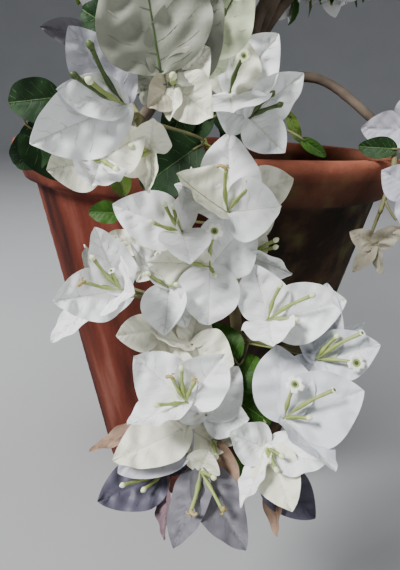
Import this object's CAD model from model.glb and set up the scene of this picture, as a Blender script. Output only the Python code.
import math
import bpy
import numpy as np
from mathutils import Matrix, Vector, noise


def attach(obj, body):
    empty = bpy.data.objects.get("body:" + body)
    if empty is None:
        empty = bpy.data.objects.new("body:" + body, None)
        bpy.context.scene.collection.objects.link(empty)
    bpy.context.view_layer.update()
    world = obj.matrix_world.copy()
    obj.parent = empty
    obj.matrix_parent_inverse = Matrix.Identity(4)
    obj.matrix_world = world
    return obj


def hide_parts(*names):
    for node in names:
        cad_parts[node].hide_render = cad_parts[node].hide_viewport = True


# Looks for a white bougainvillea in a clay pot. Sizes are millimetres until a mesh is made.
# The front blooms are placed as the source places them, and the crown is grown by the source's rule.

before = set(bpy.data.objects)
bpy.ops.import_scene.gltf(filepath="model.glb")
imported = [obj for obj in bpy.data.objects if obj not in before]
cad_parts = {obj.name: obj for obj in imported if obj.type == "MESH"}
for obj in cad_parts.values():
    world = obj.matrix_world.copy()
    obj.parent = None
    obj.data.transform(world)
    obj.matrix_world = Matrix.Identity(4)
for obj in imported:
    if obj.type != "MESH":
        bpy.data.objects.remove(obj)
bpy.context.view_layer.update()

MM = 0.001

# Pot and soil, as in the source
POT_HEIGHT = 350
RIM_RADIUS = 180
BAND_HEIGHT = 30
BAND_FOOT_RADIUS = 173
BODY_TOP_RADIUS = 164
BODY_FOOT_RADIUS = 103
WALL = 14
FLOOR_THICKNESS = 16
LIP_ROUNDING = 5
POT_SIDES = 144
SOIL_TOP = 320
SOIL_LUMP = 5
SOIL_SIDES = 120

# Trunk, as in the source
TRUNK_POINTS = [(26, 16, 320.35), (25, 12, 350), (21, 2, 384), (22, -2, 412)]
TRUNK_FORK = np.array([22.0, -2.0, 412.0])
TRUNK_RADIUS = 13
FORK_RADIUS = 9.5
FLARE = 7
FLARE_REACH = 0.16

# Camera, and the leaning sheet on which the source sets out the front shoots
EYE = np.array([0.0, -451.0, 371.0])
LOOK_DOWN = math.radians(20.8)
SHEET_ROLL = math.radians(3.2)
SHEET_AWAY = 217
PHOTO_HEIGHT_PX = 570
FOCAL_PX = 434
SENSOR_MM = 36
NEAREST_SEEN = 0.01

FORWARD = np.array([0, math.cos(LOOK_DOWN), -math.sin(LOOK_DOWN)])
LEVEL_UP = np.array([0, math.sin(LOOK_DOWN), math.cos(LOOK_DOWN)])
LEVEL_RIGHT = np.array([1.0, 0.0, 0.0])
STRAIGHT_UP = np.array([0.0, 0.0, 1.0])
RIGHT = LEVEL_RIGHT * math.cos(SHEET_ROLL) + LEVEL_UP * math.sin(SHEET_ROLL)
UP = LEVEL_UP * math.cos(SHEET_ROLL) - LEVEL_RIGHT * math.sin(SHEET_ROLL)

# How finely a bloom is made: rows and columns of a bract, sides and rings of a tube, sides of a star
FRONT_DETAIL = dict(grid=(42, 30), tube_sides=10, tube_rings=14, star_sides=40, fine=True)
CROWN_DETAIL = dict(grid=(8, 6), tube_sides=4, tube_rings=5, star_sides=20, fine=False)
FRONT_LEAF_GRID = (34, 22)
CROWN_LEAF_GRID = (6, 4)

# The usual shapes of a bract and a leaf. Roll turns it about its own axis, in degrees. Curl bends it all
# along and tip bends its tip, in radians. Fold and cup lift its sides, wave ruffles its edge, and lobe
# draws its root back beside the stalk. Crease is the depth of its veins, and crinkle of its puckers.
BRACT_SHAPE = dict(roll=0, curl=0.3, fold=0.16, cup=0.1, wave=1.0, tip=0.0, lobe=0.07, crease=0.62,
                   crinkle=0.95)
LEAF_SHAPE = dict(roll=0, curl=-0.3, fold=0.3, cup=0.0, wave=0.7, tip=-0.4, lobe=0.03, crease=0.5,
                  crinkle=0.35)
VEINS_A_SIDE = 6.2
BRACT_STEP = 0.35
BRACT_VEIN_RADIUS = 0.32
MARKED_RIB_RADIUS = 0.5
LEAF_RIB_RADIUS = 0.35
LEAF_VEIN_RADIUS = 0.3

# Flower tubes: the radius at some parts of the length, and the radii of the ends
TUBE_PARTS = [0, 0.16, 0.26, 0.42, 0.62, 0.86, 1]
TUBE_RADII = [0.42, 0.45, 0.85, 1.35, 0.85, 0.95, 1.05]
SLIM_TUBE = 0.92
BUD_RADII = {"bud": 1.55, "green": 1.5}

# Open flowers: kind, radius, and how much each faces along its tube and to the eye
OPEN_ENDS = {"star": ("star", 5.3, 0.6, 1), "yellow": ("bud", 3.4, 0.6, 1), "open": ("star", 2.3, 1, 0.4)}

# Stems: radii, then the sides and the way between the rings
STEM_RADIUS = 2.2
TWIG_RADIUS = 1.5
TWIG_TIP_RADIUS = 0.8
STALK_RADII = (0.8, 0.6)
LEAF_STALK_RADII = (1.1, 0.7)
STEM_GRID = (8, 3)
TWIG_GRID = (6, 2.5)

# Crown, as in the source, and the finer twigs that only show here. Some are long shoots that reach a little
# past their mass. All end between the two reach corners, so the crown keeps to the size of the solids.
CROWN_TWIGS = 6
CROWN_STEM_POINTS = 60
CROWN_TWIG_POINTS = 40
TWIG_LEAF_POINTS = (16, 22, 28, 34)
FINE_TWIGS_FROM = 18
FINE_TWIG_RADII = (1.0, 0.55)
SOURCE_BRACT_LENGTH = 48
CROWN_BRACT_LENGTH = 39
CROWN_LEAF_LENGTH = 44
FINE_TWIGS = 56
LONG_SHOOT_EVERY = 5
LONG_SHOOT_REACH = (1.08, 1.32)
REACH_LOW = np.array([-292, -258, 470])
REACH_HIGH = np.array([308, 276, 878])
GOLDEN_ANGLE = math.radians(137.5)
CREAM_SHARE = 0.16
GREY_SHARE = 0.1

# Bark: depth of the furrows and of the low lumps, as a part of the radius
TRUNK_BARK = (0.16, 0.14)
BOUGH_BARK = (0.09, 0.1)
TRUNK_SIDES = 28
TRUNK_RINGS = 42
BOUGH_SIDES = 12

# Stage and lights, in metres and watts
STAGE_SIDES = 96
STAGE_RADIUS = 4.2
STAGE_BEND = 1.6
STAGE_WALL = 7.5
LIGHTS_AIM = (0, 0, 0.4)
SKY_COLOUR = (0.86, 0.9, 0.97, 1)
SKY_STRENGTH = 0.55
LIGHTS = {
    "key": dict(at=(-1.1, -0.9, 1.5), size=0.5, power=62),
    "fill": dict(at=(1.5, -1.3, 0.9), size=1.4, power=12),
    "top": dict(at=(0.4, 0.9, 2.2), size=1.4, power=28),
}

DARK = dict(tint="dark_leaf")
YOUNG = dict(tint="young_leaf")


def bloom(at, bracts, tubes=(), tint="white"):
    """A row for one front bloom."""
    return dict(at=at, bracts=bracts, tubes=tubes, tint=tint)


# Front masses. Hub is where the stem runs, and at is where a bloom's heart is: across, drop and away on
# the sheet. A bract is (turn, lean, length, width), a tube is (turn, lean, length, end), and a leaf is
# (across, drop, away, turn, lean, length, width). Turn is a direction as the eye sees it, in degrees, and
# lean is how far it tips towards the eye. A bract or leaf may end with the changes to its usual shape.
FRONT_MASSES = {
    "cascade_upper": dict(hub=[(10, -30, 262), (4, -12, 258)], blooms=[
        bloom((14, -36.5, 232), [
            (90, -5, 41, 33, dict(cup=0.06, curl=0.15)), (156, -4, 32, 18, dict(roll=20)),
            (149, 10, 34, 28, dict(roll=42, fold=0.55, tint="cream", rib="tube")),
            (6, 20, 33, 33, dict(curl=0.6)),
        ], tubes=[(93, 25, 23, "dry"), (48, 25, 18, "dry")]),
        bloom((24, -44.5, 247), [(21, 5, 27, 26), (-62, -20, 26, 24), (140, -20, 28, 24)], tint="cream"),
        bloom((-9, -27, 234), [
            (159, 5, 39, 30, dict(curl=0.2)), (88, 0, 34, 24, dict(roll=58)),
            (-74, 56, 26, 27, dict(curl=-0.15, roll=-12)),
        ], tubes=[(164, 25, 17, "bud"), (123, 25, 17, "bud"), (109, 25, 13.5, "bud")]),
        bloom((5, -9, 240), [
            (50, -5, 36, 36, dict(curl=0.1)), (172, 5, 35, 28, dict(roll=-30, tint="cream")),
            (-92, 3, 33, 34, dict(curl=-0.1, tip=-0.3)),
        ], tubes=[(83, 25, 20.6, "star"), (164, 25, 16.5, "bud"), (-60, 60, 9, "bud")]),
        bloom((-22.5, -17.5, 253), [
            (164, 0, 28, 20, dict(roll=30)), (240, -15, 22, 18), (-50, -20, 24, 20),
        ], tint="cream"),
        bloom((23.5, -13.5, 247), [
            (-14, 5, 27, 24, dict(roll=50, tint="white")), (70, -10, 20, 20), (-130, -15, 24, 22),
        ], tubes=[(32, 20, 18.5, "bud"), (21, 20, 16.5, "bud")], tint="cream"),
    ], leaves=[(-40, -36, 264, 178, 0, 20, 14), (-34, -20, 264, -115, 0, 34, 24, DARK)]),
    "cascade_left": dict(hub=[(-20, 4, 262), (-36, 6, 254)], blooms=[
        bloom((-39, 2.5, 232), [
            (116, 3, 36, 24, dict(roll=20)), (189, 5, 36, 29, dict(curl=0.5)),
            (-18, 66, 21, 32, dict(fold=0.5)),
        ], tubes=[(132, 25, 23, "bud"), (119, 25, 12.3, "open"), (168, 25, 20.5, "dry")]),
        bloom((-52.5, 7.5, 247), [
            (107, 0, 32, 20, dict(roll=60)), (-131, 0, 33, 18, dict(roll=40)), (10, -15, 24, 20),
        ], tubes=[(174, 42, 23, "bud")]),
        bloom((-16, 0.5, 245), [
            (-66, -6, 26, 18), (136, 0, 32, 15, dict(roll=40)), (-92, 8, 28, 27, dict(roll=20, fold=0.5)),
        ], tubes=[(148, 25, 13, "bud"), (10, 60, 8, "bud")]),
    ], leaves=[(-36, -3, 258, 62, 0, 26, 18, DARK)]),
    "cascade_right": dict(hub=[(30, 28, 258), (44, 34, 262)], blooms=[
        bloom((34, 17.5, 240), [
            (104, 0, 32, 29), (14, 0, 43, 33, dict(curl=0.1)), (-80, 61, 25, 29, dict(curl=-0.1)),
        ], tubes=[(70, 25, 20.5, "bud"), (29, 25, 27.8, "bud"), (1, 30, 16, "bud")]),
        bloom((58.3, 37.3, 240), [
            (80, 9, 43, 25, dict(tip=-0.3)), (43, -12, 34, 16, dict(roll=50)), (-125, -15, 30, 26),
            (13, 5, 34, 28),
        ], tubes=[(48, 25, 17, "bud"), (30, 25, 29.5, "open"), (-5, 25, 21.7, "star")], tint="cool"),
    ], leaves=[(18, 38, 250, 128, 0, 29, 22, dict(roll=10))]),
    "cascade_low_left": dict(hub=[(2, 52, 258), (-8, 66, 256), (-14, 84, 258)], blooms=[
        bloom((-6.8, 58.4, 232), [
            (98, -6, 30, 20, dict(tint="cream")), (140, 3, 38, 32, dict(tip=0.3)),
            (52, 8, 33, 30, dict(roll=10)), (200, 16, 33, 29, dict(roll=53, curl=0.0)),
        ], tubes=[
            (99, 30, 18.6, "bud"), (122, 30, 15.8, "dry"), (67, 30, 12, "dry"), (186, 30, 16.6, "bud"),
        ]),
        bloom((3, 65, 245), [(55, 0, 33, 28), (-5, 0, 24, 24), (150, -15, 24, 20)]),
        bloom((-4, 30, 247), [
            (80, -15, 22, 20), (-25, 0, 26, 27), (168, 15, 27, 21, dict(roll=55)),
        ], tint="cream"),
        bloom((-21, 22.5, 251), [
            (188, 0, 24, 22), (60, -15, 22, 18), (-60, -15, 22, 18),
        ], tubes=[(130, 25, 9, "bud")], tint="cream"),
        bloom((-7, 71, 245), [
            (213, -7, 44, 33, dict(tint="grey")), (-30, -15, 26, 24), (80, -15, 24, 20),
            (205, 4, 43, 30, dict(roll=12, tint="cream")),
        ], tint="cream"),
        bloom((-25, 67.5, 257), [
            (211, 0, 38, 12, dict(roll=35)), (60, -15, 22, 18), (-60, -15, 22, 18),
        ], tint="dry"),
        bloom((-17.5, 93.5, 251), [
            (202, 0, 40, 29), (-83, 0, 34, 17, dict(roll=60, tint="pink")), (60, -15, 24, 20),
        ], tubes=[(196, 25, 25, "bud"), (218, 25, 15, "bud")], tint="lilac"),
    ], leaves=[(2, 40, 262, 200, -20, 30, 22)]),
    "cascade_low_right": dict(hub=[(28, 62, 256), (34, 76, 254)], blooms=[
        bloom((42.5, 66.5, 230), [
            (93, -3, 39, 33, dict(curl=0.1)), (18, 0, 43, 39, dict(curl=0.2)),
            (-46, 18, 35, 27, dict(roll=-55, curl=0.0)),
        ], tubes=[(70, 30, 20, "star"), (28, 25, 31, "open"), (0, 35, 13.6, "bud")], tint="cool"),
        bloom((33.5, 81.5, 239), [
            (160, 30, 26, 24), (-16, 10, 33, 24, dict(roll=-20)),
            (-70, 12, 33, 26, dict(curl=0.1, tint="cream")),
            (-112, 16, 34, 18, dict(roll=50, tint="white")),
        ], tubes=[(-80, 50, 9, "bud"), (-28, 50, 12, "bud"), (-68, 45, 15, "bud")]),
        bloom((34, 93.5, 253), [
            (-44, -5, 34, 27), (-80, 0, 33, 14, dict(roll=40, tint="dry")), (110, -15, 24, 20),
        ], tint="lilac"),
    ], leaves=[
        (18.5, 53, 248, 60, 0, 25, 20), (19, 58, 250, -34, 0, 24, 18), (22, 56, 262, 100, -20, 26, 20),
    ]),
    "cascade_tip": dict(hub=[(8, 90, 252)], blooms=[
        bloom((0, 93, 239), [
            (66, 40, 17, 20, dict(tint="cream")), (-107, 0, 39, 23, dict(roll=25)),
            (-60, 0, 44, 27, dict(roll=-15)),
        ], tubes=[(-104, 25, 21, "dry"), (-58, 25, 23, "dry"), (-24, 55, 12.6, "bud")], tint="dusk"),
        bloom((6, 77.5, 247), [
            (60, 0, 22, 26), (-62, -5, 37, 18, dict(roll=30, tint="dry")), (150, 0, 24, 22),
        ], tubes=[(16, 30, 9, "bud"), (-75, 30, 9, "bud")], tint="cream"),
    ], leaves=[(12, 88, 256, -50, -20, 30, 20)]),
    "rim_left": dict(hub=[(-34, -84, 200), (-40, -76, 198)], blooms=[
        bloom((-37.8, -90.5, 175), [
            (125, 0, 32.5, 24, dict(tint="grey")), (170, 12, 27, 17, dict(roll=10, fold=0.35)),
            (201, 10, 41, 29, dict(curl=0.4, crease=0.6)),
        ], tubes=[(119, 25, 23.5, "green"), (151, 25, 21, "green"), (147, 30, 16, "bud")]),
        bloom((-50, -62.5, 193), [
            (190, 10, 24, 24), (30, -15, 24, 22), (-112, 68, 26, 24, dict(tint="white", curl=-0.1)),
        ], tubes=[(172, 40, 10, "bud"), (-30, 40, 9, "bud")], tint="cream"),
        bloom((-25.3, -67, 205), [
            (80, 45, 22, 19), (188, 8, 24, 21), (-86, 12, 20, 14, dict(roll=48)),
        ], tubes=[(165, 35, 9, "bud"), (205, 35, 8, "bud")], tint="cream"),
        bloom((-53, -124, 220), [(170, 0, 26, 13), (60, -20, 20, 16), (-70, -20, 20, 16)], tint="dusk"),
    ], leaves=[
        (-86, -80, 232, -52, 0, 40, 30, DARK), (-70, -94, 224, 186, -10, 30, 22, DARK),
        (-78, -74, 236, 222, -10, 26, 20, DARK),
        (0, -70, 240, 213, -5, 46, 34, dict(roll=10, tint="dark_leaf")),
        (-41, -60, 228, -84, 0, 18, 12, YOUNG),
    ]),
    "rim_middle": dict(hub=[(-8, -104, 190), (-12, -108, 186)], blooms=[
        bloom((-19.5, -105, 166), [
            (50, -14, 36, 28), (215, -60, 22, 20),
            (98, -4, 43, 42, dict(curl=0.1, lobe=0, crease=0.25, rib="throat")),
        ], tint="shade"),
        bloom((-13, -100, 169), [
            (218, 25, 15, 14, dict(tint="tan")), (43, 5, 19, 17), (-38, 14, 20, 20),
            (-96, 18, 14, 9, dict(roll=30)),
        ], tubes=[(95, 60, 5, "bud")], tint="cream"),
        bloom((3, -117, 186), [
            (60, 0, 34, 26, dict(rib="throat")), (122, 0, 30, 24), (-50, -60, 20, 18),
        ], tubes=[(63, 20, 15, "green"), (74, 20, 9, "green")], tint="green_white"),
    ], leaves=[
        (-34, -122, 200, 150, 0, 27, 20, DARK), (6, -84, 236, 200, -10, 30, 20, DARK),
        (22, -96, 246, 250, -10, 32, 22, DARK), (-8, -92, 232, 250, -15, 28, 19, DARK),
    ]),
    "rim_right": dict(hub=[(19, -90, 238)], blooms=[
        bloom((15, -96, 212), [
            (88, 3, 28, 27, dict(tint="cream")), (49, -5, 33, 27),
            (-80, 70, 23, 37, dict(curl=0, fold=0.04, cup=0, roll=-6)),
        ], tubes=[(69, 25, 18, "yellow")]),
        bloom((25, -83.5, 216), [
            (41, -3, 31.5, 22, dict(roll=15)), (165, -15, 18, 20), (-42, 12, 25, 21),
        ], tubes=[(47, 25, 15, "green"), (23, 25, 15.5, "green")]),
    ], leaves=[
        (51, -73, 256, -34, 0, 19, 7.5), (44, -86, 258, -62, 0, 21, 7, YOUNG),
        (10, -92, 250, -60, 0, 26, 17, DARK),
    ]),
    "right_edge": dict(hub=[(97, -60, 302), (90, -36, 304)], blooms=[
        bloom((101, -77.5, 308), [(178, 0, 28, 24), (60, 0, 32, 26), (-50, 15, 32, 26)], tint="grey"),
        bloom((108, -47.5, 290), [(150, 5, 26, 26), (30, 0, 32, 26), (-90, 10, 30, 24)], tint="grey"),
        bloom((87, -20, 302), [
            (150, 0, 19, 15, dict(fold=0.5)), (40, 10, 22, 17, dict(roll=30)),
            (-70, 0, 21, 11, dict(roll=40)), (-125, 10, 24, 12),
        ], tint="tan"),
    ], leaves=[(98, -68, 300, 176, 0, 27, 15, DARK), (100, -34, 300, 50, -20, 24, 14, DARK)]),
}

# Bare stalks that show between the blooms, and the places of two sprigs above the rim, on the sheet. A
# bud of a sprig is (turn, length), and all have the same radii from root to tip.
STALKS = [
    [(19, 28, 262), (29, 30, 259), (37, 31.5, 256)],
    [(19, 54, 262), (26, 61, 256), (33, 69, 248)],
    [(22, 66, 254), (30, 74, 250), (36, 80, 247)],
    [(10, -66, 262), (2, -71, 258), (-5, -73, 256)],
    [(4, -68, 262), (2, -76, 258), (1, -82, 256)],
]
SPRIG_PLACES = [(-5, -73, 256), (1, -82, 256)]
SPRIG_BUDS = [(60, 6), (150, 5), (260, 6)]
SPRIG_RADII = [0.4, 1, 1.3, 1.2, 0.8, 0.2]

# Crown masses, as in the source: the middle and the half sizes of each one's space
CROWN_MASSES = {
    "crown_top": dict(seed=11, middle=(25, 25, 805), half=(125, 115, 100)),
    "crown_upper_left": dict(seed=23, middle=(-150, 5, 705), half=(105, 100, 95)),
    "crown_upper_right": dict(seed=37, middle=(190, 15, 700), half=(100, 100, 90)),
    "crown_upper_back": dict(seed=41, middle=(35, 175, 695), half=(115, 95, 95)),
    "crown_upper_front": dict(seed=53, middle=(15, -150, 690), half=(110, 90, 90)),
    "crown_left": dict(seed=67, middle=(-225, 50, 560), half=(100, 100, 80)),
    "crown_right": dict(seed=71, middle=(245, 70, 585), half=(95, 100, 78)),
    "crown_back_left": dict(seed=83, middle=(-115, 200, 575), half=(105, 95, 78)),
    "crown_back_right": dict(seed=97, middle=(140, 215, 590), half=(100, 95, 80)),
    "crown_front_left": dict(seed=103, middle=(-145, -115, 560), half=(95, 85, 80)),
    "crown_front_right": dict(seed=113, middle=(150, -105, 580), half=(92, 85, 80)),
}

# Pieces: each group of masses is joined by kind. Pale bracts have veins a little greener than they are.
FRONT_GROUPS = {
    "rim": ["rim_left", "rim_middle", "rim_right", "right_edge"],
    "cascade": ["cascade_upper", "cascade_left", "cascade_right"],
    "low": ["cascade_low_left", "cascade_low_right", "cascade_tip"],
}
CROWN_GROUPS = {
    "crown_high": ["crown_top", "crown_upper_left", "crown_upper_right", "crown_upper_back",
                   "crown_upper_front"],
    "crown_side": ["crown_left", "crown_right", "crown_back_left", "crown_back_right", "crown_front_left",
                   "crown_front_right"],
}
FRONT_SEED = 500
PALE_TINTS = ["white", "cream", "cool", "green_white"]
FOLIAGE_KINDS = ["white", "cream", "cool", "grey", "dusk", "shade", "green_white", "lilac", "pink", "tan",
                 "dry", "vein", "leaf", "dark_leaf", "young_leaf", "leaf_vein", "tube", "green", "bud",
                 "star", "throat", "dry_tip", "stem"]

# Boughs, as in the source. Those to the rim leave the trunk at a height and go over a crest. Ends, and the
# paths below the rim, are on the sheet.
RIM_BOUGH_TIP_RADIUS = STEM_RADIUS * 1.35
GREEN_BOUGH_TIP_RADIUS = STEM_RADIUS * 1.25
CROWN_BOUGH_TIP_RADIUS = STEM_RADIUS * 1.5
ARCH_FOOT = (22, 4, 388)
ARCH_CREST = (20, -98, 404)
ARCH_END = (13, -56, 252)
HANG_PATH = [(14, -30, 268), (17, 6, 266), (19, 44, 262), (14, 78, 258)]
ARCH_RADIUS = 6.5
ARCH_TIP_RADIUS = 4.6
HANG_RADIUS = 4.2
SIDE_RADIUS = 2.9
CROWN_BOUGH_RADIUS = 5.6
FRONT_BOUGHS = {
    "rim_left": dict(leave=398, crest=(-4, -95, 424), end=(-30, -82, 222), radius=4.5),
    "rim_middle": dict(leave=404, crest=(12, -110, 440), end=(-4, -102, 208), radius=4.2),
    "rim_right": dict(leave=394, crest=(28, -90, 402), end=(20, -88, 258), radius=4.2),
    "right_edge": dict(leave=386, crest=(80, -60, 408), end=(97, -74, 318), radius=4.5),
}
SIDE_BOUGHS = {
    "cascade_upper": dict(start=(14, -40, 266), end=(12, -34, 258)),
    "cascade_left": dict(start=(16, -6, 267), end=(-6, 0, 268)),
    "cascade_right": dict(start=(18, 26, 264), end=(26, 27, 260)),
    "cascade_low_left": dict(start=(19, 42, 262), end=(8, 47, 262)),
    "cascade_low_right": dict(start=(19, 50, 261), end=(25, 58, 258)),
}

# Soft surfaces: name, light and dark shade, roughness, scale of the noise and strength of the bump
SURFACES = {
    "white": ("bract_white", (0.93, 0.94, 0.94), (0.86, 0.88, 0.88), 0.6, 60, 0.5),
    "cream": ("bract_cream", (0.88, 0.87, 0.74), (0.8, 0.79, 0.62), 0.6, 60, 0.5),
    "cool": ("bract_cool", (0.7, 0.72, 0.76), (0.6, 0.62, 0.67), 0.6, 60, 0.5),
    "grey": ("bract_grey", (0.56, 0.56, 0.61), (0.46, 0.46, 0.52), 0.6, 60, 0.5),
    "dusk": ("bract_dusk", (0.165, 0.16, 0.185), (0.11, 0.105, 0.125), 0.6, 60, 0.5),
    "shade": ("bract_shade", (0.29, 0.3, 0.235), (0.22, 0.23, 0.175), 0.6, 60, 0.5),
    "vein": ("bract_vein", (0.7, 0.73, 0.62), (0.62, 0.66, 0.52), 0.6, 60, 0.2),
    "leaf_vein": ("leaf_vein", (0.11, 0.2, 0.05), (0.08, 0.15, 0.035), 0.5, 60, 0.2),
    "green_white": ("bract_green_white", (0.66, 0.72, 0.5), (0.5, 0.58, 0.36), 0.55, 60, 0.35),
    "lilac": ("bract_lilac", (0.105, 0.102, 0.145), (0.078, 0.073, 0.11), 0.55, 60, 0.35),
    "pink": ("bract_pink", (0.2, 0.125, 0.145), (0.13, 0.08, 0.095), 0.6, 60, 0.35),
    "tan": ("bract_tan", (0.56, 0.52, 0.4), (0.42, 0.38, 0.27), 0.65, 60, 0.4),
    "dry": ("bract_dry", (0.34, 0.22, 0.15), (0.22, 0.14, 0.095), 0.75, 90, 0.6),
    "leaf": ("leaf_green", (0.042, 0.115, 0.011), (0.024, 0.072, 0.007), 0.5, 70, 0.4),
    "dark_leaf": ("leaf_dark", (0.016, 0.05, 0.012), (0.008, 0.028, 0.008), 0.6, 70, 0.4),
    "young_leaf": ("leaf_young", (0.1, 0.16, 0.024), (0.062, 0.105, 0.015), 0.5, 70, 0.4),
    "tube": ("flower_tube", (0.36, 0.42, 0.13), (0.22, 0.28, 0.07), 0.5, 120, 0.3),
    "green": ("flower_tube_dark", (0.075, 0.12, 0.02), (0.035, 0.06, 0.012), 0.5, 120, 0.3),
    "bud": ("flower_bud", (0.85, 0.88, 0.6), (0.7, 0.76, 0.42), 0.5, 200, 0.2),
    "star": ("flower_star", (0.97, 0.98, 0.9), (0.93, 0.95, 0.82), 0.5, 200, 0.2),
    "throat": ("flower_throat", (0.06, 0.12, 0.02), (0.03, 0.07, 0.01), 0.6, 300, 0.2),
    "dry_tip": ("flower_dry", (0.5, 0.42, 0.16), (0.36, 0.27, 0.09), 0.7, 200, 0.4),
    "stem": ("twig_bark", (0.2, 0.2, 0.08), (0.12, 0.1, 0.05), 0.7, 90, 0.5),
    "green_bark": ("green_bark", (0.22, 0.18, 0.08), (0.12, 0.09, 0.045), 0.75, 70, 0.6),
    "bark": ("bark", (0.15, 0.115, 0.082), (0.06, 0.043, 0.03), 0.9, 45, 0.9),
    "earth": ("soil", (0.075, 0.05, 0.033), (0.02, 0.014, 0.01), 0.95, 70, 1.0),
    "floor": ("studio_floor", (0.4, 0.405, 0.41), (0.38, 0.385, 0.39), 0.9, 3, 0.0),
}
LEAF_GLOSS = {"leaf": 0.18, "dark_leaf": 0.2, "young_leaf": 0.25}


class Sheaf:
    """Many small meshes that are joined into one piece."""

    def __init__(self):
        self.points = []
        self.quads = []
        self.triangles = []
        self.count = 0

    def add(self, points, quads, triangles=()):
        """Adds a mesh, whose faces count from its own first point."""
        self.points.append(points)
        self.quads.append(np.asarray(quads, int).reshape(-1, 4) + self.count)
        self.triangles.append(np.asarray(triangles, int).reshape(-1, 3) + self.count)
        self.count += len(points)

    def piece(self, name, material, slot, nodes):
        """Makes all that was added into one piece: on its body, in its slot, in the place of its solids."""
        faces = np.concatenate(self.quads).tolist() + np.concatenate(self.triangles).tolist()
        piece = add_object(name, (np.concatenate(self.points) * MM).tolist(), faces, material)
        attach(piece, "root")
        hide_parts(*nodes)


def add_object(name, points, faces, material):
    """A smooth mesh of one material, as an object in the scene."""
    mesh = bpy.data.meshes.new(name)
    mesh.from_pydata(points, [], faces)
    mesh.materials.append(material)
    mesh.shade_smooth()
    made = bpy.data.objects.new(name, mesh)
    bpy.context.scene.collection.objects.link(made)
    return made


class Random:
    """The source's small repeatable random source, from 0 to 1."""

    def __init__(self, seed):
        self.state = seed

    def __call__(self, low=0.0, high=1.0):
        """The next number, between low and high."""
        self.state = (self.state * 1664525 + 1013904223) % 2 ** 32
        return low + (high - low) * self.state / 2 ** 32


def unit(vector):
    """A vector's direction, as a vector of length one."""
    return vector / np.linalg.norm(vector)


def place(across, drop, away):
    """A point as the eye sees it: across and drop on the sheet, and away along the line of sight."""
    return EYE + (FORWARD + RIGHT * (across / SHEET_AWAY) - UP * (drop / SHEET_AWAY)) * away


def seen_from_eye(point):
    """Facing, right and up at a point, for the eye that looks straight at it."""
    facing = unit(EYE - point)
    right = unit(RIGHT - facing * (RIGHT @ facing))
    return facing, right, np.cross(facing, right)


def direction_in(sheet, turn, lean):
    """A direction on a sheet of facing, right and up: turn goes round it, and lean lifts off it."""
    facing, right, up = sheet
    turn, lean = math.radians(turn), math.radians(lean)
    return math.cos(lean) * (math.cos(turn) * right + math.sin(turn) * up) + math.sin(lean) * facing


def sheet_facing(facing):
    """A sheet of facing, right and up for a way that isn't tied to the eye."""
    right = unit(np.cross((0.3, 0.2, 0.93), facing))
    return facing, right, np.cross(facing, right)


def turned(vector, axis, angle):
    """A vector turned round an axis."""
    return (vector * math.cos(angle) + np.cross(axis, vector) * math.sin(angle)
            + axis * (axis @ vector) * (1 - math.cos(angle)))


def smooth_path(points, count):
    """Evenly spaced points on the source's smooth curve through the given points."""
    points = [np.asarray(point, float) for point in points]
    ends = [2 * points[0] - points[1], *points, 2 * points[-1] - points[-2]]
    dense = []
    for p0, p1, p2, p3 in zip(ends, ends[1:], ends[2:], ends[3:]):
        g0, g1, g2 = [math.sqrt(np.linalg.norm(b - a)) for a, b in ((p0, p1), (p1, p2), (p2, p3))]
        m1 = ((p1 - p0) / g0 - (p2 - p0) / (g0 + g1) + (p2 - p1) / g1) * g1
        m2 = ((p2 - p1) / g1 - (p3 - p1) / (g1 + g2) + (p3 - p2) / g2) * g1
        w = np.linspace(0, 1, 40)[:, None]
        dense.append((2 * w ** 3 - 3 * w ** 2 + 1) * p1 + (w ** 3 - 2 * w ** 2 + w) * m1
                     + (3 * w ** 2 - 2 * w ** 3) * p2 + (w ** 3 - w ** 2) * m2)
    dense = np.concatenate(dense)
    run = np.concatenate([[0], np.cumsum(np.linalg.norm(np.diff(dense, axis=0), axis=1))])
    wanted = np.linspace(0, run[-1], count)
    return np.stack([np.interp(wanted, run, dense[:, k]) for k in range(3)], axis=1)


def round_turns(sides):
    """Evenly spaced angles round a full turn."""
    return np.linspace(0, 2 * math.pi, sides, endpoint=False)


def spokes_round(turns, right, up):
    """The directions at some angles round an axis, from its right and its up."""
    return np.outer(np.cos(turns), right) + np.outer(np.sin(turns), up)


def grid_quads(rows, columns):
    """The faces of a sheet of points."""
    corner = np.arange(rows * (columns + 1)).reshape(rows, columns + 1)[:, :-1].ravel()
    return np.stack([corner, corner + 1, corner + columns + 2, corner + columns + 1], axis=1)


def ring_quads(rings, sides):
    """The faces round a stack of rings of points."""
    lower = np.arange((rings - 1) * sides).reshape(rings - 1, sides)
    after = np.roll(lower, -1, axis=1)
    return np.stack([lower, after, after + sides, lower + sides], axis=2).reshape(-1, 4)


def end_caps(rings, sides):
    """Fans that close a stack of rings. Their two middles come after the points of the rings."""
    first = np.arange(sides)
    last = first + (rings - 1) * sides
    middle = rings * sides
    caps = [(b, a, middle) for a, b in zip(first, np.roll(first, -1))]
    return caps + [(a, b, middle + 1) for a, b in zip(last, np.roll(last, -1))]


def path_length(points):
    """The length of the straight lines from point to point."""
    return sum(np.linalg.norm(np.subtract(b, a)) for a, b in zip(points, points[1:]))


def nearest(path, point):
    """The number of the path's point that is nearest to a point."""
    return int(np.argmin(np.linalg.norm(path - point, axis=1)))


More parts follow.
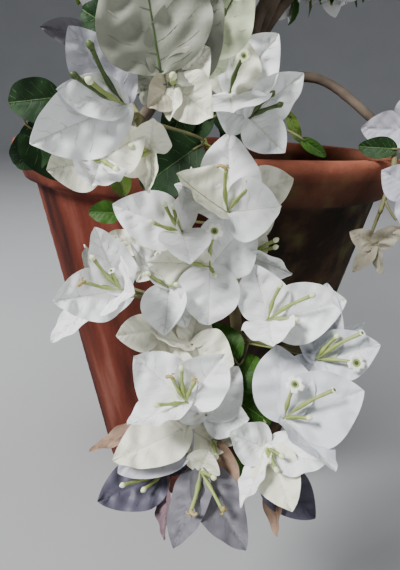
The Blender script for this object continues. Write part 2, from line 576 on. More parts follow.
def add_tube(sheaf, path, radii, sides, relief=None):
    """A round limb along a path, closed at both ends. Relief gives each corner's part of the radius."""
    steps = np.gradient(path, axis=0)
    tangents = steps / np.linalg.norm(steps, axis=1)[:, None]
    side = unit(np.cross(tangents[0], (0.31, 0.22, 0.92)))
    rings = []
    for tangent in tangents:
        side = unit(side - tangent * (side @ tangent))
        rings.append(spokes_round(round_turns(sides), side, np.cross(tangent, side)))
    spokes = np.array(rings)
    part = np.ones(sides) if relief is None else relief(spokes, path)
    amount = np.asarray(radii, float)[:, None] * part
    points = (path[:, None, :] + spokes * amount[:, :, None]).reshape(-1, 3)
    ends = np.stack([path[0], path[-1]])
    sheaf.add(np.concatenate([points, ends]), ring_quads(len(path), sides), end_caps(len(path), sides))


def blade_outline(t):
    """Half the width of a blade, as a part of its greatest: a round root and a pointed tip."""
    widest = 0.5 / 1.32
    return (t / widest) ** 0.5 * ((1 - t) / (1 - widest)) ** 0.82


def add_blade(sheaf, root, axis, towards, length, width, shape, grid, random):
    """One bract or leaf. Returns its points, row by row from the root to the tip."""
    rows, columns = grid
    face = unit(towards - axis * (towards @ axis))
    face = turned(face, axis, math.radians(shape["roll"]))
    across = np.cross(face, axis)
    # The flat outline: t runs from root to tip, closer at both ends, and s from edge to edge
    t = (1 - np.cos(np.pi * np.linspace(0.012, 0.985, rows + 1)))[:, None] / 2
    s = np.linspace(-1, 1, columns + 1)[None, :]
    edge = np.abs(s)
    half = width / 2 * blade_outline(t) * (1 + 0.05 * np.sin(6 * t + random(0, 6)) * np.sign(s))
    y = s * half
    along = length * t - shape["lobe"] * length * edge ** 2 * np.exp(-t / 0.14)
    # How far it rises off the flat: fold, cup and the wave along the edge
    rise = shape["fold"] * (np.sqrt(y ** 2 + 1.2) - 1.1) + shape["cup"] * y ** 2 / width * 2
    wave = np.sin(2 * np.pi * (random(1.6, 2.6) * t + 0.5 * (s > 0)) + random(0, 6))
    rise = rise + shape["wave"] * length / 40 * edge ** 2.5 * wave * np.sin(np.pi * t) ** 0.5
    # Sunk veins that leave the middle one in turn, and puckers between them
    spacing = length / VEINS_A_SIDE
    vein = (along - 0.75 * np.abs(y) + spacing * 0.5 * (s > 0)) / spacing
    groove = np.exp(-((vein % 1 - 0.5) / 0.15) ** 2) * np.clip(1.15 - edge, 0, 1) * np.clip(edge * 5, 0, 1)
    rise = rise - shape["crease"] * (groove * 0.7 + np.exp(-(y / 1.0) ** 2))
    for _ in range(4):
        kx, ky = random(0.25, 0.7), random(-0.6, 0.6)
        pucker = 0.4 * np.sin(kx * along + ky * y + random(0, 6))
        rise = rise + shape["crinkle"] * pucker * np.clip(edge * 3, 0, 1)
    # The bend along its length
    bend = shape["curl"] * t + shape["tip"] * t ** 4
    step = np.diff(t[:, 0] * length, prepend=0)[:, None]
    middle_x = np.cumsum(np.cos(bend) * step, axis=0)
    middle_z = np.cumsum(np.sin(bend) * step, axis=0)
    ahead = along - length * t
    x = middle_x + ahead * np.cos(bend) - rise * np.sin(bend)
    z = middle_z + ahead * np.sin(bend) + rise * np.cos(bend)
    points = root + x[:, :, None] * axis + y[:, :, None] * across + z[:, :, None] * face
    sheaf.add(points.reshape(-1, 3), grid_quads(rows, columns))
    return points


def add_midrib(sheaf, points, radius):
    """The middle vein of a blade, as a fine raised line."""
    line = points[1:-3, points.shape[1] // 2]
    add_tube(sheaf, line, np.linspace(radius, radius * 0.4, len(line)), 4)


def add_veins(sheaf, points, radius):
    """The side veins of a blade, as fine lines that lie on it."""
    rows, columns = points.shape[0] - 1, points.shape[1] - 1
    middle = columns // 2
    for side in (-1, 1):
        for start in range(rows // 9, rows - rows // 4, rows // 8):
            first = start + (rows // 16 if side > 0 else 0)
            count = int(columns * 0.42)
            ahead = np.arange(0, count + 1, 3)
            line = points[np.minimum(first + (ahead * 0.55).astype(int), rows - 1), middle + side * ahead]
            add_tube(sheaf, line, np.linspace(radius * 0.5, radius * 0.2, len(line)), 3)


def tube_ribs(spokes, path):
    """Five low ribs along a flower tube."""
    return 1 + 0.1 * np.cos(5 * round_turns(spokes.shape[1]))[None, :]


def add_flower_tube(sheaves, root, axis, length, end, detail):
    """A slender green flower tube, swollen below its middle, with its end."""
    droop = unit(np.cross(axis, (0.2, 0.9, 0.3))) * length * 0.05
    u = np.linspace(0, 1, detail["tube_rings"])[:, None]
    path = root + axis * (length * u) + droop * np.sin(np.pi * u)
    radii = np.interp(u[:, 0], TUBE_PARTS, TUBE_RADII)
    if end == "green":
        radii = radii * SLIM_TUBE
    kind = "green" if end in ("green", "yellow") else "tube"
    add_tube(sheaves[kind], path, radii, detail["tube_sides"], tube_ribs)
    tip = path[-1]
    if end in OPEN_ENDS:
        kind, radius, ahead, to_eye = OPEN_ENDS[end]
        facing = unit(axis * ahead + unit(EYE - tip) * to_eye)
        add_star(sheaves, kind, tip, facing, radius, detail["star_sides"])
    elif end == "dry":
        add_dry_tip(sheaves["dry_tip"], tip, axis, droop, detail)
    else:
        add_bud(sheaves[end], tip, axis, BUD_RADII[end], detail)


def add_bud(sheaf, tip, axis, radius, detail):
    """A closed round bud on the end of a tube."""
    knob = np.array([tip + axis * (radius * 1.9 * step) for step in np.linspace(-0.15, 1, 7)])
    radii = radius * np.array([0.6, 0.82, 0.97, 1.0, 0.88, 0.6, 0.2])
    add_tube(sheaf, knob, radii, max(detail["tube_sides"] - 2, 5))


def add_dry_tip(sheaf, tip, axis, droop, detail):
    """A wilted flower: a bent brown end, with three curled lobes where it is seen close."""
    moves = [axis * 0.4, axis * 1.2 + droop, axis * 0.6 + droop * 2, -axis * 0.8 + droop]
    bent = tip + np.cumsum(moves, axis=0)
    rings = 9 if detail["fine"] else 5
    sides = min(detail["tube_sides"], 6)
    add_tube(sheaf, smooth_path([tip, *bent], rings), np.linspace(1.1, 0.8, rings), sides)
    turns = (0.4, 2.5, 4.4) if detail["fine"] else ()
    for turn in turns:
        way = turned(unit(droop), axis, turn)
        curl = [tip + axis * 1.2, tip + axis * 2.2 + way * 1.2, tip + axis * 1.2 + way * 2.4]
        add_tube(sheaf, smooth_path(curl, 5), np.linspace(0.6, 0.35, 5), 4)


def add_star(sheaves, kind, centre, facing, radius, sides):
    """An open flower: five broad notched lobes round a green collar and a small dark throat."""
    _, right, up = sheet_facing(facing)
    turns = round_turns(sides)
    lobes = 0.84 + 0.12 * np.cos(5 * turns) - 0.09 * np.cos(10 * turns)
    spokes = spokes_round(turns, right, up)
    parts = np.array([0.16, 0.3, 0.6, 0.85, 1.0])
    lift = np.array([-0.1, 0.1, 0.22, 0.24, 0.12])
    reach = [(radius * part * (1 + (lobes - 1) * part))[:, None] for part in parts]
    points = [centre + spokes * out + facing * radius * up_by for out, up_by in zip(reach, lift)]
    sheaves[kind].add(np.concatenate(points), ring_quads(len(parts), sides))
    collar = [centre + spokes * radius * k + facing * radius * h
              for k, h in ((0.14, 0.1), (0.26, 0.16), (0.38, 0.2))]
    sheaves["tube"].add(np.concatenate(collar), ring_quads(3, sides))
    throat = [centre + spokes[::sides // 10] * radius * 0.21 * k + facing * radius * h
              for k, h in ((1, 0.17), (0.5, 0.19))]
    points = np.concatenate([*throat, [centre + facing * radius * 0.19]])
    ring = np.arange(10, 20)
    middle = [(a, b, 20) for a, b in zip(ring, np.roll(ring, -1))]
    sheaves["throat"].add(points, ring_quads(2, 10), middle)


def shaped(usual, changes=None):
    """The usual shape of a blade, with a row's changes to it."""
    return {**usual, **(changes or {})}


def add_bloom(sheaves, row, heart, sheet, detail, random):
    """Three or so bracts round a heart, each a little above the last, with flower tubes in the middle."""
    for k, (turn, lean, length, width, *changes) in enumerate(row["bracts"]):
        shape = shaped(BRACT_SHAPE, *changes)
        axis = direction_in(sheet, turn, lean)
        root = heart + sheet[0] * (BRACT_STEP * k)
        tint = shape.get("tint", row["tint"])
        points = add_blade(sheaves[tint], root, axis, sheet[0], length, width, shape, detail["grid"],
                           random)
        if detail["fine"]:
            vein = "vein" if tint in PALE_TINTS else tint
            rib_radius = MARKED_RIB_RADIUS if "rib" in shape else BRACT_VEIN_RADIUS
            add_midrib(sheaves[shape.get("rib", vein)], points, rib_radius)
            add_veins(sheaves[vein], points, BRACT_VEIN_RADIUS)
    for turn, lean, length, end in row["tubes"]:
        axis = direction_in(sheet, turn, lean)
        add_flower_tube(sheaves, heart + sheet[0] * 1.5, axis, length, end, detail)


def add_stem(sheaf, points, root_radius, tip_radius, sides, spacing):
    """A tapering stem through some points, with rings a given way apart. Returns its path."""
    path = smooth_path(points, max(4, int(path_length(points) / spacing)))
    add_tube(sheaf, path, np.linspace(root_radius, tip_radius, len(path)), sides)
    return path


def grow_front_mass(sheaves, mass, bough_tip, random):
    """One of the masses that the photo shows: its stem, and the blooms and leaves of its row."""
    hub = [place(*at) for at in mass["hub"]]
    stem = add_stem(sheaves["stem"], [bough_tip, *hub], STEM_RADIUS, TWIG_RADIUS, *STEM_GRID)
    for row in mass["blooms"]:
        heart = place(*row["at"])
        start = stem[max(nearest(stem, heart) - 3, 0)]
        behind = heart + FORWARD * 0.35 * np.linalg.norm(heart - start)
        add_stem(sheaves["stem"], [start, behind, heart], TWIG_RADIUS, TWIG_TIP_RADIUS, *TWIG_GRID)
        add_bloom(sheaves, row, heart, seen_from_eye(heart), FRONT_DETAIL, random)
    for across, drop, away, turn, lean, length, width, *changes in mass["leaves"]:
        root = place(across, drop, away)
        axis = direction_in(seen_from_eye(root), turn, lean)
        start = stem[max(nearest(stem, root) - 3, 0)]
        stalk = [start, root - axis * 3, root + axis * length * 0.1]
        add_stem(sheaves["stem"], stalk, *LEAF_STALK_RADII, *TWIG_GRID)
        shape = shaped(LEAF_SHAPE, *changes)
        kind = shape.get("tint", "leaf")
        points = add_blade(sheaves[kind], root, axis, unit(EYE - root), length, width, shape,
                           FRONT_LEAF_GRID, random)
        add_midrib(sheaves["leaf_vein"], points, LEAF_RIB_RADIUS)
        add_veins(sheaves["leaf_vein"], points, LEAF_VEIN_RADIUS)


def grow_stalks(sheaves):
    """The bare stalks between the blooms, and a sprig of three small buds at each of two places."""
    for stalk in STALKS:
        add_stem(sheaves["tube"], [place(*at) for at in stalk], *STALK_RADII, *TWIG_GRID)
    for at in SPRIG_PLACES:
        foot = place(*at)
        for turn, length in SPRIG_BUDS:
            axis = direction_in(seen_from_eye(foot), turn, 20)
            path = foot + np.outer(np.linspace(0, length, len(SPRIG_RADII)), axis)
            add_tube(sheaves["bud"], path, SPRIG_RADII, 6)


def space_of(mass):
    """The middle and the half sizes of a crown mass's space."""
    return np.array(mass["middle"], float), np.array(mass["half"], float)


def spread_way(i, count, angle):
    """The way of one of some twigs that point evenly to all sides, from the top down."""
    height = 1 - 2 * (i + 0.5) / count
    ring = math.sqrt(1 - height * height)
    return np.array([ring * math.cos(angle), ring * math.sin(angle), height])


def crown_stem(mass, bough_tip, bough_way):
    """The stem inside a crown mass and its main twigs, by the source's rule and random source."""
    random = Random(mass["seed"])
    centre, size = space_of(mass)
    inner = size - SOURCE_BRACT_LENGTH * 0.7
    stem = smooth_path([bough_tip, bough_tip + bough_way * 25, centre], CROWN_STEM_POINTS)
    stem_way = unit(centre - bough_tip)
    twigs = []
    for i in range(CROWN_TWIGS):
        way = spread_way(i, CROWN_TWIGS, i * GOLDEN_ANGLE + mass["seed"] + random() * 0.5)
        heart = centre + way * inner * random(0.86, 1)
        start = stem[round((0.3 + 0.7 * (way @ stem_way + 1) / 2) * (CROWN_STEM_POINTS - 1))]
        twigs.append(smooth_path([start, (start + heart) / 2 + (0, 0, 8), heart], CROWN_TWIG_POINTS))
        # The source draws as many numbers here, for its own bracts and leaves
        leaves_here = 2 if i % 2 == 0 else 1
        for _ in range(16 + 3 * leaves_here):
            random()
    return stem, twigs


def fine_heart(mass, i, long_shoot, random):
    """Where a fine twig ends: every third deep inside its mass, the others near its outside."""
    centre, size = space_of(mass)
    way = spread_way(i, FINE_TWIGS, i * GOLDEN_ANGLE + mass["seed"] * 2 + random() * 0.8)
    corner = 1 / (np.abs(way) ** 3).sum() ** (1 / 3)
    reach = random(0.62, 1.04) * corner if i % 3 else random(0.25, 0.62)
    if long_shoot:
        reach = random(*LONG_SHOOT_REACH)
    heart = centre + way * (size - CROWN_BRACT_LENGTH * 0.7) * reach
    return np.clip(heart, REACH_LOW, REACH_HIGH)


def nearest_twig(twigs, heart):
    """The main twig that comes nearest to a heart with its outer part."""
    return min(twigs, key=lambda twig: np.linalg.norm(twig[FINE_TWIGS_FROM:] - heart, axis=1).min())


def grow_crown_mass(sheaves, mass, bough_tip, bough_way):
    """A crown mass: the source's stem and main twigs, then fine twigs, with leaves and a bloom on each."""
    centre, size = space_of(mass)
    stem, twigs = crown_stem(mass, bough_tip, bough_way)
    add_tube(sheaves["stem"], stem[::6], np.linspace(STEM_RADIUS * 1.2, TWIG_RADIUS, 10), 6)
    for twig in twigs:
        add_tube(sheaves["stem"], twig[::5], np.linspace(TWIG_RADIUS, TWIG_TIP_RADIUS, 8), 5)
    random = Random(mass["seed"] + 1000)
    hearts = [(twig[-1], twig[-1] - twig[len(twig) // 2]) for twig in twigs]
    for i in range(FINE_TWIGS):
        long_shoot = i % LONG_SHOOT_EVERY == 1
        heart = fine_heart(mass, i, long_shoot, random)
        parent = nearest_twig(twigs, heart)
        start = parent[FINE_TWIGS_FROM + nearest(parent[FINE_TWIGS_FROM:-6], heart)]
        bend = (start + heart) / 2 + np.array([random(-8, 8), random(-8, 8), random(0, 10)])
        twig = smooth_path([start, bend, heart], 8)
        add_tube(sheaves["stem"], twig[[0, 2, 4, 6, 7]], np.linspace(*FINE_TWIG_RADII, 5), 4)
        hearts.append((heart, heart - start))
        leaf_places = (2, 3, 4, 5, 6) if long_shoot else (2, 4, 5, 6)
        for k in leaf_places:
            grow_crown_leaf(sheaves, twig[k], unit(heart - start), (i + k) * GOLDEN_ANGLE * 2, random)
    for heart, outward in hearts:
        facing = unit(unit(outward) + 0.8 * unit((heart - centre) / size) + np.array([0, 0, 0.25]))
        grow_crown_bloom(sheaves, heart, facing, random)
    for twig in twigs:
        for k in TWIG_LEAF_POINTS:
            grow_crown_leaf(sheaves, twig[k], unit(twig[-1] - twig[0]), k * GOLDEN_ANGLE, random)


def grow_crown_bloom(sheaves, heart, facing, random):
    """A bloom of three bracts and two tubes, each drawn a little different."""
    first = random(0, 360)
    bracts = []
    for k in range(3):
        length = CROWN_BRACT_LENGTH * random(0.78, 1.08)
        shape = dict(roll=random(-16, 16), curl=random(-0.2, 0.7), fold=random(0.05, 0.4),
                     wave=random(0.5, 1.8), tip=random(-0.5, 0.4), crease=0, crinkle=0)
        turn = first + 120 * k + random(-14, 14)
        bracts.append((turn, random(8, 48), length, length * random(0.74, 0.9), shape))
    pick = random()
    tint = "cream" if pick < CREAM_SHARE else "grey" if pick < CREAM_SHARE + GREY_SHARE else "white"
    ends = ["bud", "star", "bud", "dry", "bud"]
    tubes = []
    for k in range(2):
        turn = first + 120 * k + random(-20, 20)
        tubes.append((turn, random(30, 65), random(12, 19), ends[int(random(0, 4.99))]))
    add_bloom(sheaves, bloom(heart, bracts, tubes, tint), heart, sheet_facing(facing), CROWN_DETAIL, random)


def grow_crown_leaf(sheaves, root, outward, turn, random):
    """A leaf on a short stalk, to the side of its twig and a little hanging."""
    side = turned(sheet_facing(outward)[1], outward, turn + random())
    axis = unit(side + outward * random(0.2, 0.8) + np.array([0, 0, random(-0.35, 0.15)]))
    length = CROWN_LEAF_LENGTH * random(0.6, 1.05)
    shape = {**LEAF_SHAPE, "roll": random(-30, 30), "curl": random(-0.6, 0.1), "crease": 0, "crinkle": 0}
    kind = "leaf" if random() < 0.7 else "young_leaf"
    foot = root + axis * length * 0.16
    add_tube(sheaves["stem"], np.stack([root, (root + foot) / 2, foot]), [0.5, 0.45, 0.4], 3)
    width = length * random(0.52, 0.66)
    add_blade(sheaves[kind], foot, axis, STRAIGHT_UP, length, width, shape, CROWN_LEAF_GRID, random)


def bark_relief(depth, lump):
    """Shallow lengthwise furrows and low lumps, as a part of the radius."""
    def relief(spokes, path):
        amounts = np.ones(spokes.shape[:2])
        for i, at in enumerate(path):
            for k, spoke in enumerate(spokes[i]):
                near = Vector(at * 0.012 + spoke * 0.9)
                fine = Vector((spoke[0] * 4.2, spoke[1] * 4.2, at[2] * 0.05 + at[0] * 0.03))
                amounts[i, k] += lump * noise.noise(near) + depth * noise.noise(fine)
        return amounts
    return relief


def add_bough(sheaf, points, root_radius, tip_radius):
    """A bough with bark and low joints. Returns its end and the way that it points there."""
    path = smooth_path(points, max(6, int(path_length(points) / 3)))
    joints = 0.07 * np.clip(np.sin(np.arange(len(path)) * 0.55 + root_radius) - 0.82, 0, 1) / 0.18
    radii = np.linspace(root_radius, tip_radius, len(path)) * (1 + joints)
    add_tube(sheaf, path, radii, BOUGH_SIDES, bark_relief(*BOUGH_BARK))
    return path[-1], unit(path[-1] - path[-2])


def grow_trunk(sheaf):
    """The trunk, with its root flare drawn out into a few low ridges at the foot."""
    path = smooth_path(TRUNK_POINTS, TRUNK_RINGS)
    u = np.linspace(0, 1, TRUNK_RINGS)
    radii = TRUNK_RADIUS + (FORK_RADIUS - TRUNK_RADIUS) * u + FLARE * np.exp(-u / FLARE_REACH)
    turns = round_turns(TRUNK_SIDES)
    ridge = 0.14 * np.cos(3 * turns + 0.6) + 0.08 * np.cos(5 * turns)
    ridges = np.exp(-u / 0.12)[:, None] * ridge[None, :]
    bark = bark_relief(*TRUNK_BARK)
    add_tube(sheaf, path, radii, TRUNK_SIDES, lambda spokes, path: bark(spokes, path) + ridges)


def crown_bough(mass):
    """The points of a crown bough: up from the fork, then bowed out to where it enters its mass."""
    centre, size = space_of(mass)
    towards = centre - TRUNK_FORK
    rise = TRUNK_FORK + (towards[0] * 0.18, towards[1] * 0.18, 62)
    back = rise - centre
    entry = centre + back * (0.95 / np.linalg.norm(back / size))
    bowed = (rise + entry) / 2 + (0, 0, 14)
    return [TRUNK_FORK + (0, 0, -8), rise, bowed, entry]


def grow_limbs(sheaves):
    """Trunk and boughs. Returns each mass's stem root and the way that its bough points there."""
    bark, green = sheaves["bark"], sheaves["green_bark"]
    grow_trunk(sheaves["trunk"])
    ends = {}
    for name, row in FRONT_BOUGHS.items():
        points = [(22, 2, row["leave"]), row["crest"], place(*row["end"])]
        ends[name] = add_bough(bark, points, row["radius"], RIM_BOUGH_TIP_RADIUS)
    tip, way = add_bough(bark, [ARCH_FOOT, ARCH_CREST, place(*ARCH_END)], ARCH_RADIUS, ARCH_TIP_RADIUS)
    hang = [tip - way * 4, *[place(*at) for at in HANG_PATH]]
    ends["cascade_tip"] = add_bough(green, hang, HANG_RADIUS, GREEN_BOUGH_TIP_RADIUS)
    for name, row in SIDE_BOUGHS.items():
        start, end = place(*row["start"]), place(*row["end"])
        points = [start, (start + end) / 2, end]
        ends[name] = add_bough(green, points, SIDE_RADIUS, GREEN_BOUGH_TIP_RADIUS)
    for name, mass in CROWN_MASSES.items():
        ends[name] = add_bough(bark, crown_bough(mass), CROWN_BOUGH_RADIUS, CROWN_BOUGH_TIP_RADIUS)
    return {name: (tip - way * 2, way) for name, (tip, way) in ends.items()}


def body_radius(height):
    """The outer radius of the pot's tapering body."""
    return BODY_FOOT_RADIUS + (BODY_TOP_RADIUS - BODY_FOOT_RADIUS) * height / (POT_HEIGHT - BAND_HEIGHT)


def pot_profile():
    """The pot's outline from the middle of its underside over the rim to the middle of its floor."""
    foot, top = POT_HEIGHT - BAND_HEIGHT, POT_HEIGHT
    inside = RIM_RADIUS - WALL - LIP_ROUNDING
    corners = [
        (0, 0), (BODY_FOOT_RADIUS - 3, 0), (BODY_FOOT_RADIUS, 2.5), (body_radius(foot - 6), foot - 6),
        (BODY_TOP_RADIUS + 1.5, foot - 3), (BAND_FOOT_RADIUS - 1, foot - 1.5),
        (BAND_FOOT_RADIUS + 0.4, foot + 2),
        (RIM_RADIUS - 2.2, top - 13), (RIM_RADIUS - 0.5, top - 9), (RIM_RADIUS, top - 5.5),
        (RIM_RADIUS - 1.6, top - 1.8), (RIM_RADIUS - 5, top), (RIM_RADIUS - WALL, top - 0.4),
        (inside + 1.5, top - 1.8), (inside, top - LIP_ROUNDING), (body_radius(SOIL_TOP) - WALL, SOIL_TOP),
        (body_radius(FLOOR_THICKNESS) - WALL, FLOOR_THICKNESS), (0, FLOOR_THICKNESS),
    ]
    profile = []
    for (r0, z0), (r1, z1) in zip(corners, corners[1:]):
        steps = max(1, int(math.hypot(r1 - r0, z1 - z0) / 6))
        profile += [(r0 + (r1 - r0) * k / steps, z0 + (z1 - z0) * k / steps) for k in range(steps)]
    return profile[1:] + [(4, FLOOR_THICKNESS)]


def lathe_piece(name, profile, sides, relief, material, slot, nodes):
    """A turned piece. Relief gives each corner's small move outwards and upwards."""
    sheaf = Sheaf()
    points = []
    for radius, height in profile:
        for turn in round_turns(sides):
            out, up = relief(radius, height, turn)
            points.append(((radius + out) * math.cos(turn), (radius + out) * math.sin(turn), height + up))
    points += [(0, 0, profile[0][1]), (0, 0, profile[-1][1])]
    rings = len(profile)
    sheaf.add(np.array(points, float), ring_quads(rings, sides), end_caps(rings, sides))
    sheaf.piece(name, material, slot, nodes)


def pot_relief(radius, height, turn):
    """Slight unevenness of hand-thrown clay, and worn nicks on the lip. The underside stays flat."""
    if height <= FLOOR_THICKNESS and radius < BODY_FOOT_RADIUS - WALL:
        return 0, 0
    if height < 3:
        return -0.2, 0
    at = Vector((math.cos(turn) * 2.2, math.sin(turn) * 2.2, height * 0.012))
    out = 0.55 * noise.noise(at) - 0.55 + 0.12 * math.sin(height * 0.5 + 2 * noise.noise(at * 0.7))
    out += 0.18 * noise.noise(at * 9)
    nick = noise.noise(Vector((math.cos(turn) * 7, math.sin(turn) * 7, height * 0.05)))
    lip = math.exp(-((height - POT_HEIGHT + 2) / 5) ** 2) if radius > RIM_RADIUS - 9 else 0
    out -= 1.6 * lip * max(0, nick - 0.28)
    return out, -0.5 * lip * max(0, nick - 0.25)


def soil_relief(radius, height, turn):
    """Crumbs and low lumps on the top of the soil."""
    if height < SOIL_TOP - 0.5:
        return 0, 0
    at = Vector((radius * math.cos(turn) * 0.09, radius * math.sin(turn) * 0.09, 0))
    lump = 0.55 * noise.noise(at) + 0.45 * noise.noise(at * 2.7)
    return 0, SOIL_LUMP * (lump - 0.55) * min(1, radius / 30 + 0.3)


def make_soil(material):
    """The soil, a little clear of the pot, with a finely divided top."""
    foot = body_radius(FLOOR_THICKNESS) - WALL - 1
    top = body_radius(SOIL_TOP) - WALL - 0.8
    bottom = FLOOR_THICKNESS + 0.4
    profile = [(foot * 0.5, bottom), (foot, bottom), (top - 0.6, SOIL_TOP - 2)]
    profile += [(radius, SOIL_TOP) for radius in np.linspace(top - 1.2, 2.5, 44)]
    lathe_piece("soil_top", profile, SOIL_SIDES, soil_relief, material, "earth", ["soil"])


def feed(tree, socket, value):
    """Sets an input to a number or a colour, or joins it to another node."""
    if isinstance(value, bpy.types.NodeSocket):
        tree.links.new(value, socket)
    else:
        socket.default_value = value


def feed_named(tree, node, inputs):
    """Feeds a node's inputs by name. An underscore stands for a space."""
    for name, value in inputs.items():
        feed(tree, node.inputs[name.replace("_", " ")], value)


def node_of(tree, kind, **inputs):
    """A node with some inputs fed."""
    node = tree.nodes.new(kind)
    feed_named(tree, node, inputs)
    return node


def noise_value(tree, scale, detail, stretch=(1, 1, 1)):
    """Fine noise that stays on the surface."""
    coordinates = tree.nodes.new("ShaderNodeTexCoord")
    mapping = node_of(tree, "ShaderNodeMapping", Vector=coordinates.outputs["Object"], Scale=stretch)
    place_on = mapping.outputs["Vector"]
    return node_of(tree, "ShaderNodeTexNoise", Vector=place_on, Scale=scale, Detail=detail).outputs["Fac"]


def ramp(tree, value, stops):
    """A colour that changes with a value, through stops of (position, colour)."""
    node = node_of(tree, "ShaderNodeValToRGB", Fac=value)
    while len(node.color_ramp.elements) < len(stops):
        node.color_ramp.elements.new(0.5)
    for element, (position, colour) in zip(node.color_ramp.elements, stops):
        element.position = position
        element.color = (*colour, 1)
    return node.outputs["Color"]


def mix(tree, factor, first, second):
    """A mix of two colours, each given as numbers or by another node."""
    node = tree.nodes.new("ShaderNodeMix")
    node.data_type = "RGBA"
    for number, value in ((0, factor), (6, first), (7, second)):
        feed(tree, node.inputs[number], value)
    return node.outputs[2]


def bump(tree, height, strength, distance):
    """Fine relief for the shader's normal."""
    node = node_of(tree, "ShaderNodeBump", Height=height, Strength=strength, Distance=distance)
    return node.outputs["Normal"]


def new_material(name):
    """A material, its node tree and its shader."""
    material = bpy.data.materials.new(name)
    material.use_nodes = True
    return material, material.node_tree, material.node_tree.nodes["Principled BSDF"]


def soft_material(name, light, dark, roughness, scale, bump_strength, **constants):
    """A plant surface: two near shades mixed by fine noise, and a fine bump."""
    material, tree, shader = new_material(name)
    shade = ramp(tree, noise_value(tree, scale, 4), [(0.35, dark), (0.65, light)])
    fine = bump(tree, noise_value(tree, scale * 6, 3), bump_strength, 0.0004)
    feed_named(tree, shader, dict(Roughness=roughness, Base_Color=shade, Normal=fine, **constants))
    return material


def grey(value):
    """An even grey, for ramps that say how much of a colour shows."""
    return (value, value, value)


def clay_material():
    """Red clay, streaked on one side, stained dark with green-brown growth towards the other."""
    material, tree, shader = new_material("weathered_clay")
    blotch = noise_value(tree, 9, 6)
    streak = noise_value(tree, 30, 6, (1, 1, 0.07))
    red = ramp(tree, streak, [
        (0.34, (0.03, 0.008, 0.006)), (0.45, (0.085, 0.018, 0.011)), (0.56, (0.13, 0.028, 0.017)),
        (0.68, (0.2, 0.068, 0.048)),
    ])
    moss = ramp(tree, noise_value(tree, 34, 8), [
        (0.42, (0.01, 0.007, 0.004)), (0.52, (0.034, 0.019, 0.01)), (0.6, (0.04, 0.044, 0.014)),
        (0.7, (0.12, 0.044, 0.024)),
    ])
    bare = ramp(tree, blotch, [(0.45, grey(0)), (0.7, grey(0.6))])
    stain = mix(tree, bare, moss, (0.052, 0.018, 0.009, 1))
    coordinates = tree.nodes.new("ShaderNodeTexCoord")
    parts = node_of(tree, "ShaderNodeSeparateXYZ", Vector=coordinates.outputs["Object"])
    side = tree.nodes.new("ShaderNodeMath")
    side.operation = "MULTIPLY_ADD"
    for number, value in enumerate((blotch, 0.12, parts.outputs["X"])):
        feed(tree, side.inputs[number], value)
    covered = ramp(tree, side.outputs[0], [(0.0, grey(0)), (0.09, grey(1))])
    body = mix(tree, covered, red, stain)
    lip = ramp(tree, parts.outputs["Z"], [
        (0.316, grey(0)), (0.322, grey(0.1)), (0.337, grey(0.22)), (0.345, grey(1)),
    ])
    lip_shade = ramp(tree, noise_value(tree, 14, 6), [
        (0.3, (0.16, 0.048, 0.028)), (0.5, (0.4, 0.13, 0.075)), (0.75, (0.55, 0.24, 0.16)),
    ])
    colour = mix(tree, lip, body, lip_shade)
    grain = bump(tree, noise_value(tree, 260, 6), 0.5, 0.0012)
    look = dict(Roughness=0.85, Specular_IOR_Level=0.15, Base_Color=colour, Normal=grain)
    feed_named(tree, shader, look)
    return material


def make_materials():
    """All the materials by kind. Leaves have less gloss than the shader's own."""
    materials = {"clay": clay_material()}
    for kind, row in SURFACES.items():
        constants = {"Specular_IOR_Level": LEAF_GLOSS[kind]} if kind in LEAF_GLOSS else {}
        materials[kind] = soft_material(*row, **constants)
    return materials


def new_sheaves(kinds):
    """An empty sheaf for each kind of piece."""
    return {kind: Sheaf() for kind in kinds}


def make_pieces(materials, sheaves, group, names):
    """A piece of each kind that a group of masses holds."""
    for kind, sheaf in sheaves.items():
        if sheaf.count:
            sheaf.piece(f"{group}_{kind}", materials[kind], "foliage", [f"mass_{name}" for name in names])


def make_plant(materials):
    """Trunk and boughs first, then the masses that grow on from the boughs' ends."""
    limbs = new_sheaves(["trunk", "bark", "green_bark"])
    ends = grow_limbs(limbs)
    green_nodes = ["bough_front_hang", *[f"bough_{name}" for name in SIDE_BOUGHS]]
    boughs = [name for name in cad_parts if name.startswith("bough_")]
    brown_nodes = [name for name in boughs if name not in green_nodes]
    limbs["trunk"].piece("trunk_bark", materials["bark"], "bark", ["trunk"])
    limbs["bark"].piece("boughs_brown", materials["bark"], "bark", brown_nodes)
    limbs["green_bark"].piece("boughs_green", materials["green_bark"], "green_bark", green_nodes)
    for group, names in FRONT_GROUPS.items():
        sheaves = new_sheaves(FOLIAGE_KINDS)
        for name in names:
            random = Random(FRONT_SEED + list(FRONT_MASSES).index(name))
            grow_front_mass(sheaves, FRONT_MASSES[name], ends[name][0], random)
            if name == "cascade_upper":
                grow_stalks(sheaves)
        make_pieces(materials, sheaves, group, names)
    for group, names in CROWN_GROUPS.items():
        sheaves = new_sheaves(FOLIAGE_KINDS)
        for name in names:
            grow_crown_mass(sheaves, CROWN_MASSES[name], *ends[name])
        make_pieces(materials, sheaves, group, names)


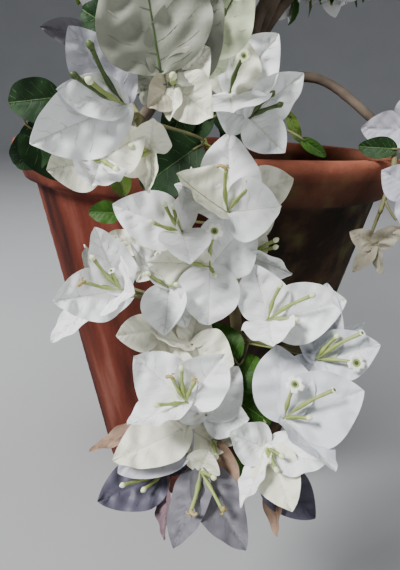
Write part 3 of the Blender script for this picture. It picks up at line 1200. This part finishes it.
def make_stage(material):
    """A wide pale floor that curves up all round into a wall."""
    line = [(0.5, 0), (2, 0), (STAGE_RADIUS, 0)]
    for angle in np.linspace(0.1, math.pi / 2, 14):
        out, up = STAGE_BEND * math.sin(angle), STAGE_BEND - STAGE_BEND * math.cos(angle)
        line.append((STAGE_RADIUS + out, up))
    line.append((STAGE_RADIUS + STAGE_BEND, STAGE_WALL))
    points = [(r * math.cos(turn), r * math.sin(turn), z)
              for r, z in line for turn in round_turns(STAGE_SIDES)]
    points.append((0, 0, 0))
    following = [*range(1, STAGE_SIDES), 0]
    middle = [(a, b, len(points) - 1) for a, b in zip(range(STAGE_SIDES), following)]
    faces = ring_quads(len(line), STAGE_SIDES)[:, ::-1].tolist() + middle
    add_object("studio_floor", points, faces, material)


def make_camera():
    """The camera at the photo's viewing angle."""
    camera = bpy.data.cameras.new("camera")
    camera.sensor_fit = "AUTO"
    camera.sensor_width = SENSOR_MM
    camera.lens = SENSOR_MM * FOCAL_PX / PHOTO_HEIGHT_PX
    camera.clip_start = NEAREST_SEEN
    holder = bpy.data.objects.new("camera", camera)
    turn = Matrix([Vector(RIGHT), Vector(UP), Vector(-FORWARD)]).transposed().to_4x4()
    holder.matrix_world = Matrix.Translation(Vector(EYE * MM)) @ turn
    bpy.context.scene.collection.objects.link(holder)
    bpy.context.scene.camera = holder


def make_lights():
    """Three soft lamps that aim at the middle of the plant, and a pale sky."""
    for name, row in LIGHTS.items():
        light = bpy.data.lights.new(name, "AREA")
        light.size = row["size"]
        light.energy = row["power"]
        lamp = bpy.data.objects.new(name, light)
        lamp.location = row["at"]
        lamp.rotation_euler = (Vector(LIGHTS_AIM) - Vector(row["at"])).to_track_quat("-Z", "Y").to_euler()
        bpy.context.scene.collection.objects.link(lamp)
    world = bpy.data.worlds.new("studio")
    world.use_nodes = True
    background = world.node_tree.nodes["Background"]
    background.inputs["Color"].default_value = SKY_COLOUR
    background.inputs["Strength"].default_value = SKY_STRENGTH
    bpy.context.scene.world = world


make_camera()
make_lights()
materials = make_materials()
make_stage(materials["floor"])
lathe_piece("pot_body", pot_profile(), POT_SIDES, pot_relief, materials["clay"], "clay", ["pot"])
make_soil(materials["earth"])
make_plant(materials)

bpy.context.view_layer.update()
